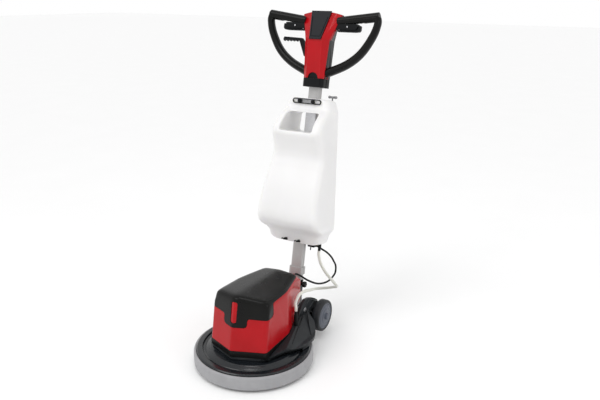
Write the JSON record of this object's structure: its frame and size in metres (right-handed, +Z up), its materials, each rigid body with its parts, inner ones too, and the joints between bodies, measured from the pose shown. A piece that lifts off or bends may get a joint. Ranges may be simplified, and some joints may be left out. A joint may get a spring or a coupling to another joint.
{
  "type": "rotary floor machine",
  "caption": "Single disc floor scrubbing machine with a faceted motor hood, rear transport wheels, a tilting handle column, a hanging solution tank and looped handles with switch levers.",
  "frame": {"origin": "on the floor at the axis of the disc, in the plane that the floor pad rests on", "axes": "+Z up; -Y is the front, where the hood's prow points; +Y is where the operator stands; +X is the side of the solution valve, the operator's right"},
  "size_m": [0.51, 0.8067, 1.2999],
  "materials": {
    "bumper_grey": "matt grey rubber",
    "deck_grey": "semi-gloss dark grey enamel on cast aluminium",
    "chassis_black": "black stove enamel on cast aluminium",
    "hood_red": "gloss red moulded plastic",
    "hood_black": "semi-gloss black moulded plastic",
    "satin_black": "fine-grained black plastic",
    "tank_white": "translucent natural polyethylene, satin",
    "hose_white": "milky flexible hose",
    "cable_black": "black rubber sheath",
    "dark_steel": "dark chromed steel",
    "bright_steel": "bright zinc-plated steel",
    "tube_steel": "satin stainless tube",
    "cast_iron": "machined cast iron",
    "lamination": "electrical steel with varnished copper winding",
    "wheel_rubber": "dark grey solid rubber tyre",
    "wheel_grey": "grey nylon hub",
    "pad_fibre": "coarse non-woven scouring fibre"
  },
  "bodies": {
    "base": {"deck": "deck_grey", "bumper_ring": "bumper_grey", "chassis": "chassis_black", "gearbox_housing": "cast_iron", "motor_shell": "cast_iron", "stator": "lamination", "motor_end_shield": "cast_iron", "start_capacitor": "satin_black", "hood_base_frame": "hood_black", "hood_lower_shell": "hood_red", "hood_upper_shell": "hood_black", "hood_trim_strip": "hood_red", "wheel_axle": "bright_steel", "tie_bolt": "bright_steel", "wheel_bracket_left": "chassis_black", "wheel_bracket_right": "chassis_black", "lock_quadrant": "bright_steel", "hose_inlet": "satin_black", "motor_cable": "cable_black", "solution_hose": "hose_white"},
    "column": {"column_tube": "tube_steel", "column_foot": "cast_iron", "column_collar": "bright_steel", "column_clamp": "satin_black", "solution_tank": "tank_white", "tank_hanger_plate": "bright_steel", "tank_clamp_strap": "dark_steel", "solution_valve": "satin_black", "console_face": "hood_red", "console_housing": "satin_black", "console_insert": "hood_black", "switch_module": "satin_black", "mains_cable_gland": "satin_black", "handle_left": "hood_black", "handle_right": "hood_black", "switch_housing_left": "satin_black", "switch_housing_right": "satin_black", "column_cable_gland": "satin_black"},
    "disc": {"floor_pad": "pad_fibre", "pad_driver": "satin_black", "planet_carrier": "cast_iron"},
    "planet_1": {"planet_gear_1": "cast_iron"},
    "planet_2": {"planet_gear_2": "cast_iron"},
    "planet_3": {"planet_gear_3": "cast_iron"},
    "rotor": {"motor_rotor": "bright_steel", "cooling_fan": "satin_black"},
    "wheel_left": {"wheel_left_tyre": "wheel_rubber", "wheel_left_hub": "wheel_grey"},
    "wheel_right": {"wheel_right_tyre": "wheel_rubber", "wheel_right_hub": "wheel_grey"},
    "foot_knob": {"foot_clamp_knob": "satin_black"},
    "tilt_release": {"tilt_release_lever": "satin_black"},
    "lock_rod": {"lock_rod": "bright_steel"},
    "switch_left": {"switch_lever_left": "satin_black"},
    "switch_right": {"switch_lever_right": "satin_black"},
    "interlock": {"interlock_button": "hood_red"},
    "valve_rod": {"valve_pull_rod": "bright_steel"},
    "filler_cap": {"tank_filler_cap": "satin_black"},
    "wing_screw_left": {"tank_wing_screw_left": "satin_black"},
    "wing_screw_right": {"tank_wing_screw_right": "satin_black"}
  },
  "joints": [
    {"name": "column_tilt", "type": "hinge", "parent": "base", "child": "column", "pos_m": [0, 0.3095, 0.088], "axis": [-1, 0, 0], "range_deg": [-10, 60], "deforming": ["motor_cable", "solution_hose"]},
    {"name": "disc_spin", "type": "hinge", "parent": "base", "child": "disc", "pos_m": [0, 0, 0.04], "axis": [0, 0, 1], "continuous": true},
    {"name": "motor_spin", "type": "hinge", "parent": "base", "child": "rotor", "pos_m": [0, 0, 0.15], "axis": [0, 0, 1], "continuous": true},
    {"name": "planet_1_spin", "type": "hinge", "parent": "disc", "child": "planet_1", "pos_m": [0, 0.02625, 0.071], "axis": [0, 0, 1], "continuous": true},
    {"name": "planet_2_spin", "type": "hinge", "parent": "disc", "child": "planet_2", "pos_m": [-0.02273, -0.01312, 0.071], "axis": [0, 0, 1], "continuous": true},
    {"name": "planet_3_spin", "type": "hinge", "parent": "disc", "child": "planet_3", "pos_m": [0.02273, -0.01312, 0.071], "axis": [0, 0, 1], "continuous": true},
    {"name": "wheel_left_roll", "type": "hinge", "parent": "base", "child": "wheel_left", "pos_m": [-0.137, 0.3095, 0.088], "axis": [1, 0, 0], "continuous": true},
    {"name": "wheel_right_roll", "type": "hinge", "parent": "base", "child": "wheel_right", "pos_m": [0.137, 0.3095, 0.088], "axis": [1, 0, 0], "continuous": true},
    {"name": "foot_knob_turn", "type": "hinge", "parent": "column", "child": "foot_knob", "pos_m": [0.038, 0.32992, 0.19609], "axis": [1, 0, 0], "continuous": true},
    {"name": "tilt_release_squeeze", "type": "hinge", "parent": "column", "child": "tilt_release", "pos_m": [0.03, 0.50556, 1.12564], "axis": [0, 0.9826, -0.1857], "range_deg": [0, 7], "stiffness_Nm_per_rad": 2, "springref_deg": -8.59},
    {"name": "lock_rod_lift", "type": "slide", "parent": "column", "child": "lock_rod", "axis": [0, 0.1857, 0.9826], "range_m": [0, 0.0038]},
    {"name": "switch_left_squeeze", "type": "hinge", "parent": "column", "child": "switch_left", "pos_m": [-0.08, 0.52487, 1.22783], "axis": [0, 0.9826, -0.1857], "range_deg": [0, 4.6], "stiffness_Nm_per_rad": 1.5, "springref_deg": -5.73},
    {"name": "switch_right_squeeze", "type": "hinge", "parent": "column", "child": "switch_right", "pos_m": [0.08, 0.52487, 1.22783], "axis": [0, -0.9826, 0.1857], "range_deg": [0, 4.6], "stiffness_Nm_per_rad": 1.5, "springref_deg": -5.73},
    {"name": "interlock_press", "type": "slide", "parent": "column", "child": "interlock", "axis": [0, -0.9826, 0.1857], "range_m": [0, 0.004], "stiffness_N_per_m": 400, "springref_m": -0.002},
    {"name": "valve_rod_pull", "type": "slide", "parent": "column", "child": "valve_rod", "axis": [0.0453, 0.1855, 0.9816], "range_m": [0, 0.02]},
    {"name": "filler_cap_turn", "type": "hinge", "parent": "column", "child": "filler_cap", "pos_m": [-0.084, 0.47877, 0.7684], "axis": [0, 0.9826, -0.1857], "continuous": true},
    {"name": "wing_screw_left_turn", "type": "hinge", "parent": "column", "child": "wing_screw_left", "pos_m": [-0.03, 0.2877, 0.40353], "axis": [0, -0.9826, 0.1857], "continuous": true},
    {"name": "wing_screw_right_turn", "type": "hinge", "parent": "column", "child": "wing_screw_right", "pos_m": [0.03, 0.2877, 0.40353], "axis": [0, -0.9826, 0.1857], "continuous": true}
  ],
  "couplings": [
    {"joint": "motor_spin", "follows": "disc_spin", "ratio": 7},
    {"joint": "planet_1_spin", "follows": "disc_spin", "ratio": -2.4},
    {"joint": "planet_2_spin", "follows": "disc_spin", "ratio": -2.4},
    {"joint": "planet_3_spin", "follows": "disc_spin", "ratio": -2.4},
    {"joint": "lock_rod_lift", "follows": "tilt_release_squeeze", "m_per_rad": 0.03}
  ]
}
